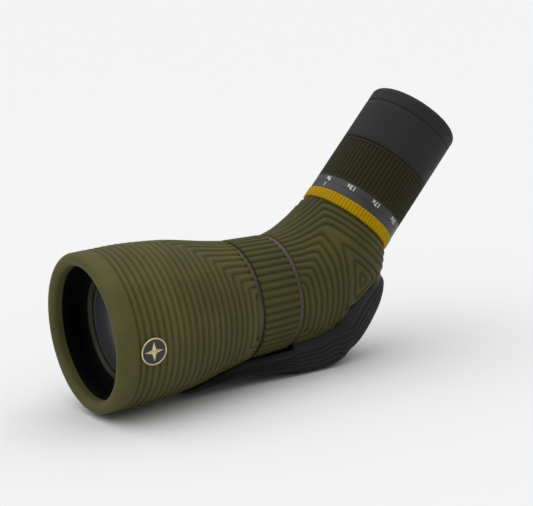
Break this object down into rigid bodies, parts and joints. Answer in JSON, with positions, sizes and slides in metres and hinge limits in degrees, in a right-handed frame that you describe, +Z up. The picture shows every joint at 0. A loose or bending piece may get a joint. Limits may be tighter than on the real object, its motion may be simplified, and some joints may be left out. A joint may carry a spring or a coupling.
{
  "type": "spotting scope",
  "caption": "Compact angled spotting scope with a flared ribbed barrel, focus ring, rubber foot with tripod socket and a zoom eyepiece with a twist-up eyecup.",
  "frame": {"origin": "centre of the tripod socket mouth in the underside of the foot", "axes": "+X along the tube from the objective back to the prism, +Z up out of the foot, Y across"},
  "size_m": [0.2047, 0.0736, 0.1251],
  "materials": {
    "olive_rubber": "matte ribbed armour",
    "dark_olive_rubber": "matte ribbed grip",
    "black_rubber": "matte ribbed foot",
    "charcoal_rubber": "smooth matte",
    "seal_rubber": "smooth",
    "black_anodised": "matt black anodised",
    "charcoal_anodised": "satin anodised",
    "plum_anodised": "satin anodised",
    "mustard_anodised": "satin anodised, knurled",
    "housing_magnesium": "black paint",
    "coated_glass": "coated optical glass",
    "gilt_metal": "polished",
    "badge_enamel": "gloss enamel",
    "plain_steel": "bright"
  },
  "bodies": {
    "scope_body": {"front_barrel": "black_anodised", "front_armour": "olive_rubber", "objective_cell": "black_anodised", "objective_front_lens": "coated_glass", "objective_rear_lens": "coated_glass", "objective_spacer": "black_anodised", "objective_retaining_ring": "black_anodised", "objective_seal": "seal_rubber", "front_baffle": "black_anodised", "badge_plate": "badge_enamel", "badge_ring": "gilt_metal", "badge_star": "gilt_metal", "front_trim_ring": "plum_anodised", "rear_trim_ring": "plum_anodised", "middle_barrel": "black_anodised", "focus_seals": "seal_rubber", "prism_housing": "housing_magnesium", "rear_armour": "olive_rubber", "roof_prism": "coated_glass", "prism_bracket": "black_anodised", "prism_clamp_spring": "plain_steel", "prism_screws": "plain_steel", "foot_block": "black_anodised", "foot_armour": "black_rubber", "tripod_bush": "plain_steel", "foot_screws": "plain_steel", "eyepiece_socket": "black_anodised", "collet": "black_anodised"},
    "focus_ring": {"focus_ring": "black_anodised", "focus_grip": "olive_rubber"},
    "focus_carrier": {"focus_carrier": "black_anodised", "focusing_lens": "coated_glass", "focus_drive_pins": "plain_steel"},
    "lock_collar": {"lock_collar": "mustard_anodised"},
    "eyepiece": {"eyepiece_barrel": "charcoal_anodised", "field_stop": "black_anodised", "field_lens": "coated_glass", "eye_lens_cell": "black_anodised", "eye_lens": "coated_glass", "eye_lens_ring": "black_anodised", "eyecup_guide": "black_anodised"},
    "zoom_ring": {"zoom_ring": "charcoal_anodised", "zoom_grip": "dark_olive_rubber", "zoom_cam": "black_anodised"},
    "front_zoom_group": {"front_zoom_carrier": "black_anodised", "front_zoom_lens": "coated_glass", "front_zoom_pins": "plain_steel"},
    "rear_zoom_group": {"rear_zoom_carrier": "black_anodised", "rear_zoom_lens": "coated_glass", "rear_zoom_pins": "plain_steel"},
    "eyecup_glide": {"eyecup_glide_ring": "black_anodised"},
    "eyecup": {"eyecup_sleeve": "charcoal_anodised", "eyecup_rubber": "charcoal_rubber"}
  },
  "joints": [
    {"name": "focus_turn", "type": "hinge", "parent": "scope_body", "child": "focus_ring", "pos_m": [-0.024, 0, 0.0383], "axis": [1, 0, 0], "range_deg": [-135, 135]},
    {"name": "focus_slide", "type": "slide", "parent": "scope_body", "child": "focus_carrier", "axis": [1, 0, 0], "range_m": [-0.0054, 0.0054]},
    {"name": "lock_turn", "type": "hinge", "parent": "scope_body", "child": "lock_collar", "pos_m": [0.04405, 0, 0.07365], "axis": [0.7071, 0, 0.7071], "range_deg": [0, 50]},
    {"name": "eyepiece_lift", "type": "slide", "parent": "scope_body", "child": "eyepiece", "axis": [0.7071, 0, 0.7071], "range_m": [0, 0.045]},
    {"name": "zoom_turn", "type": "hinge", "parent": "eyepiece", "child": "zoom_ring", "pos_m": [0.04405, 0, 0.07365], "axis": [0.7071, 0, 0.7071], "range_deg": [-159, 0]},
    {"name": "front_zoom_slide", "type": "slide", "parent": "eyepiece", "child": "front_zoom_group", "axis": [0.7071, 0, 0.7071], "range_m": [-0.008, 0]},
    {"name": "rear_zoom_slide", "type": "slide", "parent": "eyepiece", "child": "rear_zoom_group", "axis": [0.7071, 0, 0.7071], "range_m": [0, 0.0048]},
    {"name": "eyecup_rise", "type": "slide", "parent": "eyepiece", "child": "eyecup_glide", "axis": [0.7071, 0, 0.7071], "range_m": [0, 0.009]},
    {"name": "eyecup_turn", "type": "hinge", "parent": "eyecup_glide", "child": "eyecup", "pos_m": [0.04405, 0, 0.07365], "axis": [0.7071, 0, 0.7071], "range_deg": [0, 150]}
  ],
  "couplings": [
    {"joint": "focus_slide", "follows": "focus_turn", "m_per_rad": 0.0022918},
    {"joint": "front_zoom_slide", "follows": "zoom_turn", "m_per_rad": 0.0028828},
    {"joint": "rear_zoom_slide", "follows": "zoom_turn", "m_per_rad": -0.0017297},
    {"joint": "eyecup_rise", "follows": "eyecup_turn", "m_per_rad": 0.0034377}
  ]
}
